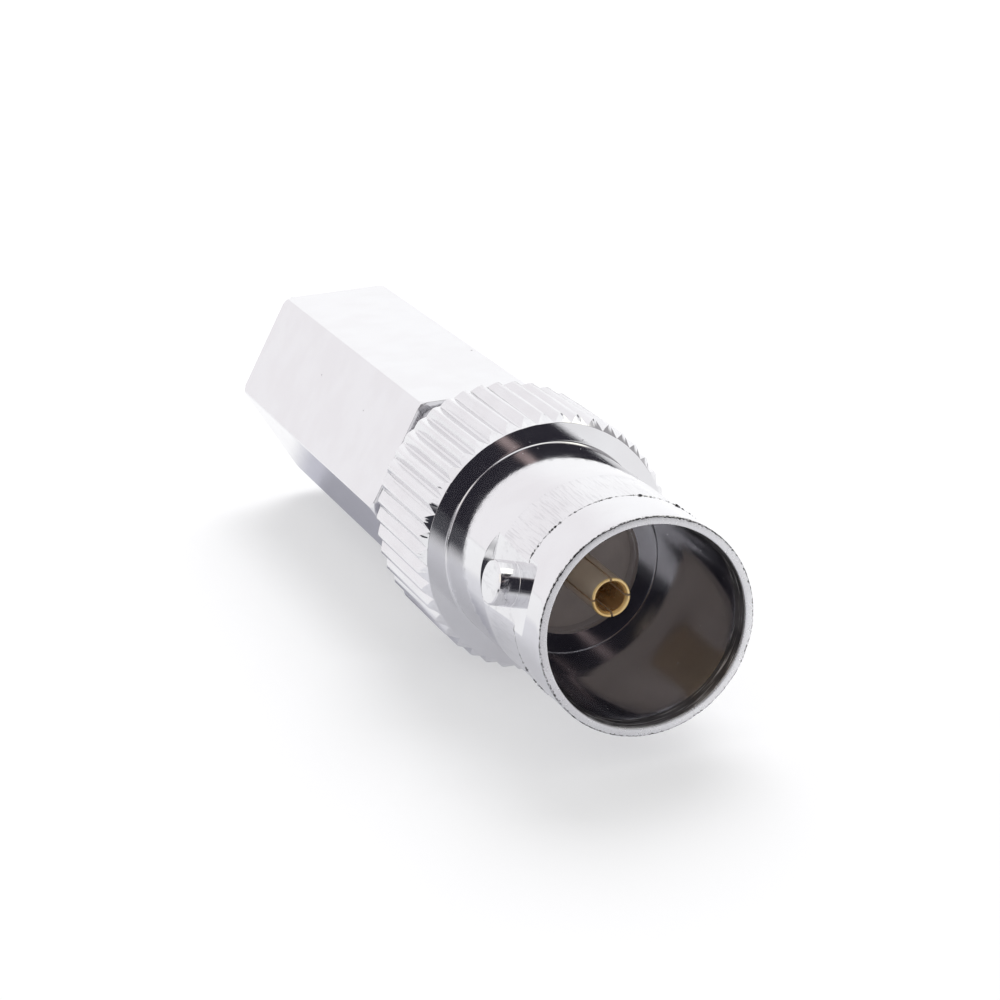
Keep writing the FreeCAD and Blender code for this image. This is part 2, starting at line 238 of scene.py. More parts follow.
def finishMaterial(tree, shader, colour, rough, height):
    bump = addNode(tree, "ShaderNodeBump", {"Height": height, "Distance": mm, "Strength": 1.0})
    for key, output in (("Base Color", colour), ("Roughness", rough), ("Normal", bump.outputs[0])):
        tree.links.new(output, shader.inputs[key])


wearAndPaintedLight = {  # alike on all metals; each span is where a noise, or a speck's distance, fades in
    "patchSpan": (0.35, 0.65),
    "ringDrift": 0.8,
    "arcDrift": 0.14,
    "lugDrift": 0.12,
    "axialDrift": 0.06,
    "axialRadius": 4.8,
    # width over which the light or shade painted along the marks fades in
    "paintedMarkFade": 0.2,
    "scratchStretch": (0.9, 0.25, 5.0),
    "scratchScale": 1.6,
    "scratchSpan": (0.66, 0.74),
    "speckSpan": (0.05, 0.11),
    "speckFade": 0.02,
    "smudgeSpan": (0.35, 0.75),
}


def makeMetal(name, look):
    # polished plating: colour patches, smudges, fine marks of one direction with painted shade along them
    # (painted highlights where their tone is bright), scratches and specks
    material, tree, shader = startMaterial(name)
    place, outward, distance, depth = shaftPlaces(tree)
    patches = grain(tree, place, look["patchScale"], 3.0)
    rings = {"X": distance, "Y": depth}
    marks = {
        "rings": lambda: markPlaces(tree, rings, outward, wearAndPaintedLight["ringDrift"]),
        "arcs": lambda: markPlaces(tree, rings, outward, wearAndPaintedLight["arcDrift"]),
        "axial": lambda: markPlaces(
            tree, {"Y": calculate(tree, "MULTIPLY", depth, wearAndPaintedLight["axialDrift"])}, outward,
            wearAndPaintedLight["axialRadius"],
        ),
        "lug": lambda: markPlaces(tree, {"X": distance}, place, wearAndPaintedLight["lugDrift"]),
        "plain": lambda: place,
    }[look["marks"]]()
    lines = grain(tree, marks, look["markScale"], 2.0, 0.6)
    waves = grain(tree, place, look["waveScale"], 1.0)
    scratched = combine(tree, "MULTIPLY", place, wearAndPaintedLight["scratchStretch"])
    scratches = span(tree, grain(tree, scratched, wearAndPaintedLight["scratchScale"], 1.0, 0.5), *wearAndPaintedLight["scratchSpan"])
    cells = addNode(tree, "ShaderNodeTexVoronoi", {"Vector": place, "Scale": look["speckScale"]})
    near = calculate(tree, "SUBTRACT", 1.0, span(tree, cells.outputs["Distance"], *wearAndPaintedLight["speckSpan"]))
    lot = addNode(tree, "ShaderNodeSeparateColor", {0: cells.outputs["Color"]}).outputs[0]
    chosen = span(tree, lot, look["speckRarity"], look["speckRarity"] + wearAndPaintedLight["speckFade"])
    specks = calculate(tree, "MULTIPLY", near, chosen)

    patched = span(tree, patches, *wearAndPaintedLight["patchSpan"])
    colour = blendColours(tree, patched, look["colour"], look["secondColour"])
    markFull = look["markFrom"] + wearAndPaintedLight["paintedMarkFade"]
    # painted shade along the marks' grooves; a bright mark tone paints highlights there instead
    paintedMarkLight = span(tree, lines, look["markFrom"], markFull, 0.0, look["markTint"])
    colour = blendColours(tree, paintedMarkLight, colour, look["markColour"])
    colour = blendColours(tree, specks, colour, look["speckColour"])
    shader.inputs["Metallic"].default_value = look["metallic"]

    smudges = grain(tree, place, look["smudgeScale"], 4.0, 0.6)
    smudge = span(tree, smudges, *wearAndPaintedLight["smudgeSpan"], 0.0, look["smudge"])
    rough = calculate(tree, "ADD", look["roughness"], smudge)
    rough = calculate(tree, "ADD", rough, calculate(tree, "MULTIPLY", specks, look["speckRoughness"]))

    height = calculate(tree, "MULTIPLY", lines, look["markDepth"])
    cuts = ((waves, look["waveDepth"]), (scratches, -look["scratchDepth"]), (specks, -look["speckDepth"]))
    for pattern, rise in cuts:
        height = calculate(tree, "MULTIPLY_ADD", pattern, rise, height)
    finishMaterial(tree, shader, colour, rough, height)
    return material


nickelLook = {
    "metallic": 1.0,
    "colour": (0.785, 0.785, 0.80, 1),
    "secondColour": (0.765, 0.76, 0.775, 1),
    "speckColour": (0.25, 0.24, 0.25, 1),
    "roughness": 0.05,
    "smudge": 0.05,
    "patchScale": 0.5,
    "smudgeScale": 0.7,
    "marks": "plain",
    "markScale": 30.0,
    "markDepth": 0.00015,
    # tone painted along the marks as painted shade, and how much of it is laid on
    "markColour": (0.34, 0.335, 0.36, 1),
    "markTint": 0.0,
    "markFrom": 0.48,
    "waveScale": 0.9,
    "waveDepth": 0.0009,
    "scratchDepth": 0.00008,
    "speckScale": 1.6,
    "speckRarity": 0.95,
    "speckDepth": 0.004,
    "speckRoughness": 0.3,
}
dust = {  # bright grains that only show where the metal mirrors something dark
    "speckColour": (0.8, 0.8, 0.8, 1),
    "speckScale": 2.6,
    "speckRarity": 0.80,
    "speckDepth": 0.0,
    "speckRoughness": 0.6,
}


def metal(name, **changes):
    return makeMetal(name, {**nickelLook, **changes})


# A mark tint below paints shade along the tool marks' grooves: on the band, rim, lug, knurl and facets.
nickelBarrel = metal("nickelBarrel", marks="rings", markScale=6.0, markDepth=0.0003)
nickelRoot = metal("nickelRoot", markScale=6.0, markDepth=0.002, roughness=0.09, **dust)
nickelBand = metal(
    "nickelBand", marks="axial", markScale=13.0, markDepth=0.0035, markTint=0.20, roughness=0.14
)
nickelFace = metal("nickelFace", marks="rings", markScale=5.0, markDepth=0.0003, roughness=0.06, **dust)
nickelRim = metal(
    "nickelRim", metallic=0.7, colour=(0.90, 0.90, 0.92, 1), secondColour=(0.86, 0.855, 0.875, 1),
    markScale=13.0, markDepth=0.003, markTint=0.2, roughness=0.26,
)
# burred edges: the near-black patches are painted shade, the dark line along the rim's and the collar's cut
# edges
nickelBurrPaintedShade = metal(
    "nickelBurrPaintedShade", secondColour=(0.03, 0.028, 0.03, 1), patchScale=7.0, markScale=4.0, markDepth=0.02,
    roughness=0.2,
)
nickelBore = metal("nickelBore", marks="rings", markScale=5.0, markDepth=0.0004, roughness=0.11, **dust)
# lead-in: dark colour as a painted reflection of the dark camera side, with bright arcs along its tool
# marks as painted highlights
nickelLeadInPaintedLight = metal(
    "nickelLeadInPaintedLight", metallic=0.5, colour=(0.16, 0.15, 0.155, 1), secondColour=(0.08, 0.075, 0.08, 1),
    marks="arcs", markScale=19.0, markDepth=0.006, markTint=1.0, markFrom=0.54,
    markColour=(1.0, 0.98, 0.98, 1), roughness=0.22,
)
# shoulder at the bottom of the bore: nickel darkened as painted shade deep in the bore
nickelShoulderPaintedShade = metal(
    "nickelShoulderPaintedShade", colour=(0.36, 0.36, 0.38, 1), secondColour=(0.30, 0.295, 0.31, 1), marks="rings",
    markScale=5.0, markDepth=0.0004, roughness=0.14, **dust
)
nickelLug = metal(
    "nickelLug", marks="lug", markScale=15.0, markDepth=0.0025, markTint=0.18, roughness=0.10
)
nickelKnurl = metal(
    "nickelKnurl", marks="axial", markScale=5.0, markDepth=0.001, markTint=0.05, roughness=0.19
)
nickelFacet = metal("nickelFacet", markScale=5.0, markDepth=0.0003, markTint=0.10, waveDepth=0.0003)
nickelThread = metal("nickelThread", markDepth=0.0008, roughness=0.14)
nickelSleeve = metal("nickelSleeve", waveScale=0.3, waveDepth=0.0015, markDepth=0.0001, roughness=0.10)

goldPlate = metal(
    "goldPlate", metallic=0.25, colour=(0.99, 0.82, 0.62, 1), secondColour=(0.94, 0.76, 0.55, 1),
    speckColour=(0.20, 0.10, 0.03, 1), roughness=0.14, smudge=0.10, marks="rings", markScale=16.0,
    markDepth=0.0006, speckScale=4.0,
)
goldTip = metal(
    "goldTip", metallic=0.6, colour=(0.98, 0.72, 0.34, 1), secondColour=(0.92, 0.62, 0.25, 1),
    roughness=0.22, markScale=12.0, markDepth=0.002,
)
goldMouth = metal(
    "goldMouth", metallic=0.8, colour=(0.98, 0.76, 0.46, 1), secondColour=(0.92, 0.66, 0.36, 1),
    speckColour=(0.20, 0.10, 0.03, 1), roughness=0.24, smudge=0.15, marks="axial", markScale=12.0,
    markDepth=0.002,
)
bareBrass = metal(
    "bareBrass", colour=(0.72, 0.52, 0.22, 1), secondColour=(0.62, 0.42, 0.17, 1),
    speckColour=(0.18, 0.10, 0.04, 1), roughness=0.22, smudge=0.15, marks="rings", markScale=10.0,
    markDepth=0.002,
)


def makeMoulded(name, look):
    # insulator and rubber: mottled colour, fine grain and faint turning rings
    material, tree, shader = startMaterial(name)
    place, outward, distance, depth = shaftPlaces(tree)
    mottle = grain(tree, place, look["mottleScale"], 4.0)
    mottleSpan = (0.3, 0.7)
    colour = blendColours(tree, span(tree, mottle, *mottleSpan), look["colour"], look["secondColour"])
    spread = 0.06
    smooth, dull = look["roughness"] - spread, look["roughness"] + spread
    rough = span(tree, grain(tree, place, 3.0, 3.0), *mottleSpan, smooth, dull)
    turning = markPlaces(tree, {"X": distance, "Y": depth}, outward, 0.2)
    rings = grain(tree, turning, look["ringScale"], 3.0)
    fine = grain(tree, place, look["grainScale"], 3.0)
    height = calculate(tree, "MULTIPLY", rings, look["ringDepth"])
    height = calculate(tree, "MULTIPLY_ADD", fine, look["grainDepth"], height)
    finishMaterial(tree, shader, colour, rough, height)
    return material


insulatorPlastic = makeMoulded("insulatorPlastic", {
    "colour": (0.60, 0.53, 0.505, 1),
    "secondColour": (0.54, 0.475, 0.455, 1),
    "roughness": 0.42,
    "mottleScale": 0.8,
    "ringScale": 9.0,
    "ringDepth": 0.004,
    "grainScale": 14.0,
    "grainDepth": 0.002,
})

blackRubber = makeMoulded("blackRubber", {
    "colour": (0.018, 0.018, 0.019, 1),
    "secondColour": (0.030, 0.029, 0.028, 1),
    "roughness": 0.55,
    "mottleScale": 1.5,
    "ringScale": 3.0,
    "ringDepth": 0.008,
    "grainScale": 18.0,
    "grainDepth": 0.006,
})
print("materials made:", len(bpy.data.materials))


# Shell: barrel, lugs, knurled ring and threaded neck in one piece

shellForm = {
    "barrelRadius": 4.825,
    "barrelRows": (0.5, 1.1),
    "barrelRearRows": (7.6, 9.0, 10.4),
    "mouthRadius": 4.47,
    "leadInRadius": 4.34,
    "leadInDepth": 0.85,
    "boreRadius": 4.06,
    "boreTaperDepth": 5.3,
    "boreDepth": 8.4,
    "lipRadius": 3.1,
    "lipRear": 9.2,
    "cavityRadius": 3.3,
    "collarLength": 3.0,
    "bandRadius": 4.755,
    "bandRear": 6.04,
    "bandRunout": 0.03,
    "bandStep": 0.006,
    "bandRows": 6,
    "burrHeight": 0.07,
    "burrWidth": 0.09,
    "burrDrift": 0.05,
    "rimEase": 0.05,
    "rimNick": 0.06,
    "ringDepth": 11.33,
    "ringRear": 18.0,
    "rootFillet": 0.06,
    "rootStart": 9.2,
    "neckRadius": 4.0,
    "neckRear": 26.0,
    "neckBevel": 0.3,
    "reliefRadius": 3.65,
    "reliefRear": 18.8,
    "threadPitch": 0.5,
    "threadDepth": 0.27,
    "threadFade": 0.25,
    "threadRise": (0.0, 0.08, 0.8, 1.0, 0.8, 0.08),
}
lugForm = {
    "angles": (math.radians(164), math.radians(-16)),
    "depth": 4.3,
    "radius": 0.98,
    "reach": 5.5,
    "bevel": 0.08,
    "rootEase": 0.02,
    "flatHeight": 4.56,
    "flatRadius": 2.75,
    "flatEase": 0.025,
    "flatTurn": math.radians(40),
    "wallLean": 1.1,
}
toothForm = {
    "count": 45,
    "crestRadius": 6.06,
    "rimRadius": 5.72,
    "bevelLength": 0.50,
    "crestEase": 0.09,
    "height": 0.32,
    "bottom": 0.405,
    "columns": (-0.40, -0.35, -0.28, -0.21, -0.14, -0.07, 0.0, 0.07, 0.14, 0.21, 0.28, 0.35, 0.40),
    "unevenness": 0.012,
    "edgeEase": 0.018,
    "facetLean": 0.05,
    "facetLift": 0.02,
    "rimSet": 0.006,
    "coneStart": 0.008,
    "coneStop": 0.012,
}
fineStep = 5  # the barrel and ring have this many times more columns than the neck


def fineAngles():
    pitch = 2 * math.pi / toothForm["count"]
    return [
        tooth * pitch + offset / toothForm["crestRadius"]
        for tooth in range(toothForm["count"])
        for offset in toothForm["columns"]
    ]


def toothAt(angle):
    # which tooth this angle is on, and how far round from its crest
    pitch = 2 * math.pi / toothForm["count"]
    tooth = round(angle / pitch)
    return tooth % toothForm["count"], (angle - tooth * pitch) * toothForm["crestRadius"]


def toothRadius(angle):
    # rounded crest, straight flanks and a narrow flat at the groove's bottom
    form = toothForm
    tooth, offset = toothAt(angle)

    def ridge(across):
        return math.hypot(across, form["crestEase"]) - form["crestEase"]

    drop = form["height"] * min(1.0, ridge(offset) / ridge(form["bottom"]))
    worn = abs(form["unevenness"] * noise.noise(Vector((tooth * 1.7, 0.3, 5.1))))
    return form["crestRadius"] - drop - worn * (1 - drop / form["height"])


def bevelRadius(angle):
    # where the turned bevel starts at the ring's face; each tooth's facet leans a little
    form = toothForm
    tooth, offset = toothAt(angle)
    lean = form["facetLean"] * noise.noise(Vector((tooth * 2.3, 4.7, 1.3)))
    lift = form["facetLift"] * noise.noise(Vector((tooth * 3.1, 9.2, 2.6)))
    return form["rimRadius"] + lift + lean * offset


def bevelSlope():
    return (toothForm["crestRadius"] - toothForm["rimRadius"]) / toothForm["bevelLength"]


def toothBevelEnd(angle):
    # how far from the ring's face the turned bevel meets the tooth, at this angle
    return max(0.0, toothRadius(angle) - bevelRadius(angle)) / bevelSlope()


def ringRows():
    # loops over the knurled ring, from its front face to its rear one, as (radius, depth) of angle
    form = toothForm
    coneStart, coneStop = form["coneStart"], form["coneStop"]

    def onCone(angle, reach):
        # point on the bevel this far from the face, or on the tooth if the bevel ends before
        return min(toothRadius(angle), bevelRadius(angle) + bevelSlope() * reach)

    def end(face, inward, ease):
        def edge(angle):
            return min(toothRadius(angle), bevelRadius(angle)) - form["rimSet"], face

        def start(angle):
            reach = min(coneStart, toothBevelEnd(angle) + coneStart / 2)
            return onCone(angle, coneStart), face + inward * reach

        def stop(angle):
            reach = max(coneStop, toothBevelEnd(angle) - ease)
            return onCone(angle, reach), face + inward * reach

        def back(angle):
            return toothRadius(angle), face + inward * (toothBevelEnd(angle) + ease + coneStop)

        return [edge, start, stop, back]

    front = end(shellForm["ringDepth"], 1, form["edgeEase"])
    rear = end(shellForm["ringRear"], -1, form["edgeEase"] * 2)
    return front + rear[::-1]


def lugOffset(angle):
    return min((turnFrom(angle, centre) for centre in lugForm["angles"]), key=abs)


def flatLimit(angle, radius):
    # the milled flat round a lug, where it lies below the turned surface
    offset = lugOffset(angle)
    if abs(offset) > lugForm["flatTurn"]:
        return radius
    return min(radius, lugForm["flatHeight"] / math.cos(offset))


def flatEdge(angle, side, lower):
    # depth of the round wall that ends the flat, upright in front (side -1), leaning behind (side 1)
    form, outer = lugForm, shellForm["barrelRadius"]
    offset = min(abs(lugOffset(angle)), math.acos(form["flatHeight"] / outer))
    across = form["flatHeight"] * math.tan(offset) if lower else outer * math.sin(offset)
    reach = math.sqrt(form["flatRadius"] ** 2 - across**2)
    if lower and side > 0:
        reach -= form["wallLean"] * (outer - flatLimit(angle, outer))
    return form["depth"] + side * reach


burrNoise = {  # long stretches with and without a burr, and ragged teeth within them
    "turn": 9,
    "longScale": 0.6,
    "longShare": 0.7,
    "raggedScale": 7.3,
    "raggedShare": 1.1,
    "lift": 0.22,
    "driftTurn": 14,
}


def burr(angle, seed):
    # uneven height left along a cut edge, from 0 to 1
    form = burrNoise
    place = polar(angle, form["turn"], seed).xzy
    stretches = form["longShare"] * noise.noise(place * form["longScale"])
    teeth = form["raggedShare"] * noise.noise(place * form["raggedScale"])
    return min(1.0, max(0.0, stretches + teeth + form["lift"]))


def plain(radius, depth):
    # a row that is round: the same at every angle
    return lambda angle: (radius, depth)


def barrelRows():
    form, ease = shellForm, lugForm["flatEase"]
    outer, band = form["barrelRadius"], form["bandRadius"]
    collar, runout = form["collarLength"], form["bandRunout"]

    def limited(radius, depth):
        return lambda angle: (flatLimit(angle, radius), depth)

    def wall(side):
        # rows across the round wall of a flat, from the outer surface to the flat
        def step(angle):
            return min(ease, 0.4 * (outer - flatLimit(angle, outer)))

        def beside(angle, lower, away):
            return flatEdge(angle, side, lower) + away * side * (step(angle) + 0.002)

        return [
            lambda angle: (outer, beside(angle, False, 1)),
            lambda angle: (outer - step(angle), flatEdge(angle, side, False)),
            lambda angle: (flatLimit(angle, outer) + step(angle), flatEdge(angle, side, True)),
            lambda angle: (flatLimit(angle, outer), beside(angle, True, -1)),
        ]

    def burrRow(back, lift):
        def place(angle):
            height = form["burrHeight"] * burr(angle, 2.0)
            drift = noise.noise(polar(angle, burrNoise["driftTurn"], 7.0).xzy)
            return flatLimit(angle, outer + lift * height), collar - back + form["burrDrift"] * drift

        return place

    rows = [plain(outer, depth) for depth in form["barrelRows"]] + wall(-1)
    rows += [burrRow(form["burrWidth"], 0.0), burrRow(form["burrWidth"] * 0.62, 1.0), burrRow(0.008, 0.8)]
    rows += [limited(band + 0.012, collar + 0.012), limited(band, collar + runout)]
    windowStart = len(rows) - 1
    bandEnd = form["bandRear"] - runout
    for k in range(form["bandRows"]):
        share = (k + 1) / form["bandRows"]
        radius = band + (outer - form["bandStep"] - band) * share
        rows.append(limited(radius, collar + runout + (bandEnd - collar - runout) * share))
    windowEnd = len(rows) - 1
    rows += [limited(outer, form["bandRear"])]
    rows += wall(1)[::-1]
    rows += [plain(outer, depth) for depth in form["barrelRearRows"]]
    return rows, windowStart, windowEnd


def addLug(mesh, centre, border):
    # round lug standing on its flat, joined to the border loop that was left open for it
    form = lugForm
    sideways = polar(centre + math.pi / 2, 1, 0)
    middle = polar(centre, form["flatHeight"], form["depth"])

    def around(radius, height):
        points = []
        for vertex in border:
            away = vertex.co - middle
            turn = math.atan2(away.y, away.dot(sideways))
            shift = sideways * math.cos(turn) * radius + Vector((0, 1, 0)) * math.sin(turn) * radius
            points.append(polar(centre, height, form["depth"]) + shift)
        return points

    radius, base, top = form["radius"], form["flatHeight"], form["reach"]
    ease, bevel = form["rootEase"], form["bevel"]
    outline = [
        (radius + 0.06, base),
        (radius + ease, base),
        (radius + ease * 0.3, base + ease * 0.3),
        (radius, base + ease),
        (radius, base + 0.3),
        (radius, top - bevel - 0.02),
        (radius - bevel * 0.08, top - bevel * 0.75),
        (radius - bevel * 0.75, top - bevel * 0.08),
        (radius - bevel - 0.02, top),
        (radius * 0.6, top - 0.004),
        (radius * 0.3, top - 0.006),
    ]
    last = bridgeOn(mesh, border, [around(size, height) for size, height in outline])
    tip = mesh.verts.new(polar(centre, top - 0.006, form["depth"]))
    for j, vertex in enumerate(last):
        mesh.faces.new([last[j - 1], vertex, tip])


def threadRows(angles):
    # loops of one helical thread on the neck; after a turn, loop k goes on as loop k + steps
    form, rise = shellForm, shellForm["threadRise"]
    steps = len(rise)
    start, stop = form["reliefRear"] + 0.05, form["neckRear"] - form["neckBevel"] - 0.02
    turns = math.ceil((stop - start) / form["threadPitch"]) + 1
    rows = []
    for k in range(-steps, turns * steps + 1):
        row = []
        for angle in angles + [2 * math.pi]:
            depth = start + form["threadPitch"] * (k / steps + angle / (2 * math.pi))
            held = min(max(depth, start), stop)
            fade = min(1.0, (held - start) / form["threadFade"], (stop - held) / form["threadFade"])
            drop = form["threadDepth"] * fade * (1 - rise[k % steps])
            row.append(polar(angle, form["neckRadius"] - drop, held))
        rows.append(row)
    return rows


def makeShell():
    form = shellForm
    mesh = bmesh.new()
    angles = fineAngles()
    outer, ring = form["barrelRadius"], form["ringDepth"]
    bore, leadIn, mouth = form["boreRadius"], form["leadInRadius"], form["mouthRadius"]
    boreEnd, taperEnd, leadInEnd = form["boreDepth"], form["boreTaperDepth"], form["leadInDepth"]

    inside = [
        (form["lipRadius"] + 0.08, boreEnd),
        (3.6, boreEnd),
        (bore - 0.07, boreEnd),
        (bore - 0.04, boreEnd),
        (bore - 0.012, boreEnd - 0.012),
        (bore, boreEnd - 0.04),
        (bore, boreEnd - 0.07),
        (bore, 7.4),
        (bore, 6.4),
        (bore, taperEnd + 0.1),
        (bore + 0.006, taperEnd - 0.1),
    ]
    taper = (leadIn - bore) / (taperEnd - leadInEnd)
    for depth in (4.3, 3.2, 2.1, 1.3):
        inside.append((bore + taper * (taperEnd - depth), depth))
    inside += [
        (leadIn - 0.004, leadInEnd + 0.06),
        (leadIn + 0.008, leadInEnd - 0.03),
        (leadIn + 0.05, 0.5),
        (mouth - 0.02, 0.12),
        (mouth - 0.006, 0.03),
        (mouth + 0.012, 0.006),
        (mouth + 0.04, 0.0),
        (mouth + 0.17, 0.0),
    ]

    def rimRow(share):
        # outer edge of the rim, eased and nicked
        def place(angle):
            reach = form["rimEase"] + form["rimNick"] * burr(angle, 11.0) ** 1.5
            return outer - reach * (1 - share) ** 2, reach * share**2

        return place

    rows = [plain(*p) for p in inside]
    rows += [rimRow(share) for share in (0.0, 0.35, 0.65, 1.0)]
    barrel, windowStart, windowEnd = barrelRows()
    windowStart += len(rows)
    windowEnd += len(rows)
    rows += barrel
    fillet = form["rootFillet"]
    root = [
        (outer, ring - fillet - 0.1),
        (outer, ring - fillet),
        (outer + fillet * 0.29, ring - fillet * 0.29),
        (outer + fillet, ring),
        (outer + fillet + 0.06, ring),
        (5.2, ring),
        (5.5, ring),
    ]
    rows += [plain(*p) for p in root]
    rows += ringRows()
    rows += [plain(5.4, form["ringRear"])]

    loops = [addLoop(mesh, [polar(a, *row(a)) for a in angles]) for row in rows]
    halfWindow = (lugForm["radius"] + 0.16) / lugForm["flatHeight"]
    inWindow = {
        j: centre
        for centre in lugForm["angles"]
        for j, angle in enumerate(angles)
        if abs(turnFrom(angle, centre)) < halfWindow
    }
    for i in range(1, len(loops)):
        near, far = loops[i - 1], loops[i]
        for j in range(len(angles)):
            after = (j + 1) % len(angles)
            if not (windowStart < i <= windowEnd and j in inWindow and after in inWindow):
                addQuad(mesh, near, far, j, after)

    for centre in lugForm["angles"]:
        columns = sorted(
            (j for j in inWindow if inWindow[j] == centre), key=lambda j: turnFrom(angles[j], centre)
        )
        border = [loops[windowStart][j] for j in columns]
        border += [loops[i][columns[-1]] for i in range(windowStart + 1, windowEnd)]
        border += [loops[windowEnd][j] for j in reversed(columns)]
        border += [loops[i][columns[0]] for i in range(windowEnd - 1, windowStart, -1)]
        addLug(mesh, centre, border)

    coarse = angles[::fineStep]
    relief, neck = form["reliefRadius"], form["neckRadius"]
    ringEnd, reliefEnd = form["ringRear"], form["reliefRear"]
    groove = [
        (relief + 0.1, ringEnd),
        (relief + 0.02, ringEnd + 0.02),
        (relief, ringEnd + 0.1),
        (relief, reliefEnd - 0.35),
        (neck - 0.02, reliefEnd - 0.02),
        (neck, reliefEnd + 0.03),
    ]
    tail = roundCorners(
        [
            (neck - form["neckBevel"], form["neckRear"]),
            (form["cavityRadius"], form["neckRear"]),
            (form["cavityRadius"], form["lipRear"], 0.02),
            (form["lipRadius"], form["lipRear"], 0.02),
            (form["lipRadius"], boreEnd, 0.02),
        ],
        0.03,
    )[1:-1]

    previous = bridgeOn(mesh, loops[-1], circles(coarse, groove))
    rows = [addLoop(mesh, row) for row in threadRows(coarse)]
    bridge(mesh, previous, rows[0][:-1])
    for near, far in zip(rows, rows[1:]):
        for j in range(len(coarse)):
            addQuad(mesh, near, far, j, j + 1)
    bridge(mesh, loops[0], bridgeOn(mesh, rows[-1][:-1], circles(coarse, tail)))

    finishes = [
        nickelBarrel, nickelRoot, nickelBand, nickelFace, nickelRim, nickelBurrPaintedShade, nickelBore, nickelLeadInPaintedLight,
        nickelShoulderPaintedShade, nickelLug, nickelKnurl, nickelFacet, nickelThread,
    ]

    def pickFinish(centre, normal):
        radius, depth, facing = math.hypot(centre.x, centre.z), centre.y, abs(normal.y)
        if depth > ringEnd - 0.01 or radius < form["cavityRadius"] + 0.01:
            return nickelThread
        if facing > 0.98 and depth > ring - 0.05 and radius < toothForm["rimRadius"] + 0.02:
            return nickelFace
        if depth > ring - 0.01:
            return nickelFacet if facing > 0.4 and depth < ringEnd - 0.1 else nickelKnurl
        if depth < 0.2 and radius > outer - 0.16 and facing < 0.995:
            return nickelBurrPaintedShade
        if depth < 0.08 and radius > mouth - 0.02:
            return nickelRim
        if radius < mouth:
            if depth > boreEnd - 0.01:
                return nickelShoulderPaintedShade
            return nickelLeadInPaintedLight if depth < leadInEnd else nickelBore
        if abs(depth - form["collarLength"]) < form["burrWidth"] and radius > form["bandRadius"] + 0.01:
            return nickelBurrPaintedShade
        if form["collarLength"] < depth < form["bandRear"]:
            onFlat = abs(normal.dot(polar(math.atan2(centre.z, centre.x), 1, 0))) < 0.999
            return nickelLug if onFlat else nickelBand
        return nickelRoot if depth > form["rootStart"] else nickelBarrel

    def creaseAngle(place):
        # degrees: the flats' edges are crisp, the knurl's crests and grooves stay round
        radius = math.hypot(place.x, place.z)
        if form["collarLength"] - 1.6 < place.y < 7.3 and radius > mouth:
            return 12
        if abs(place.y - ring) < 0.03 and radius > 5.6:
            return 20
        if ring + 0.03 < place.y < ring + 0.5:
            return 30
        return 50

    finishPiece(mesh, "bayonetShell", finishes, "shell", pickFinish, creaseAngle)


makeShell()


# Hexagonal sleeve, one flat facing up

sleeveForm = {
    "front": 20.1,
    "length": 22.3,
    "flats": 9.54,
    "edgeRadius": 0.12,
    "endBevel": 0.16,
    "threadRadius": 4.02,
    "threadBevel": 0.3,
    "shoulder": 31.6,
    "cableRadius": 3.4,
    "cableBevel": 0.3,
    "ease": 0.03,
    "flatSteps": (-2.62, -2.54, -2.46, -2.38, -2.1, -1.4, -0.7, 0.0, 0.7, 1.4, 2.1, 2.38, 2.46, 2.54, 2.62),
    "cornerSteps": 5,
}


def hexOutline():
    # points round the bar: each flat in turn, then the rounded edge after it
    form = sleeveForm
    half, radius = form["flats"] / 2, form["edgeRadius"]

    def towards(angle):
        return Vector((math.cos(angle), math.sin(angle)))

    points = []
    for side in range(6):
        facing = math.radians(90 + 60 * side)
        along = Vector((-math.sin(facing), math.cos(facing)))
        points += [towards(facing) * half + along * s for s in form["flatSteps"]]
        corner = math.radians(120 + 60 * side)
        middle = towards(corner) * (half - radius) / math.cos(math.radians(30))
        for k in range(form["cornerSteps"] + 1):
            turn = facing + math.radians(60) * k / form["cornerSteps"]
            points.append(middle + towards(turn) * radius)
    return points


def makeSleeve():
    form = sleeveForm
    mesh = bmesh.new()
    outline = hexOutline()
    angles = [math.atan2(p.y, p.x) for p in outline]
    cone = form["flats"] / math.sqrt(3) - form["endBevel"]
    front, rear = form["front"], form["front"] + form["length"]

    def end(face, inward):
        # loops from the flat end face over the turned bevel to the flats
        loops = [[], [], [], []]
        for point, angle in zip(outline, angles):
            full = point.length
            reach = max(0.0, full - cone) * 2
            ease = form["ease"]
            rim = min(full, cone)
            loops[0].append(polar(angle, rim - ease, face))
            eased = rim - ease * 0.25 + min(reach, ease) * 0.25
            loops[1].append(polar(angle, eased, face + inward * ease * 0.4))
            stop = max(ease * 0.8, reach - ease)
            loops[2].append(polar(angle, min(full - ease * 0.1, cone + stop / 2), face + inward * stop))
            loops[3].append(polar(angle, full, face + inward * (max(reach, ease) + ease * 1.5)))
        return loops

    thread, threadBevel = form["threadRadius"], form["threadBevel"]
    cable, cableBevel = form["cableRadius"], form["cableBevel"]
    frontBore = [
        (thread, form["shoulder"]),
        (thread, front + threadBevel + 0.02),
        (thread + 0.02, front + threadBevel - 0.02),
        (thread + threadBevel - 0.02, front + 0.02),
        (thread + threadBevel + 0.03, front),
    ]
    rearBore = [
        (cable + cableBevel + 0.03, rear),
        (cable + cableBevel - 0.02, rear - 0.02),
        (cable + 0.02, rear - cableBevel + 0.02),
        (cable, rear - cableBevel - 0.03),
        (cable, form["shoulder"] + 0.03),
        (cable + 0.03, form["shoulder"]),
    ]
    outside = end(front, 1) + end(rear, -1)[::-1]
    wrap(mesh, circles(angles, frontBore) + outside + circles(angles, rearBore))
    finishPiece(mesh, "hexSleeve", [nickelSleeve], "hex_sleeve")


makeSleeve()


# Centre contact: slotted socket, flange and solder cup

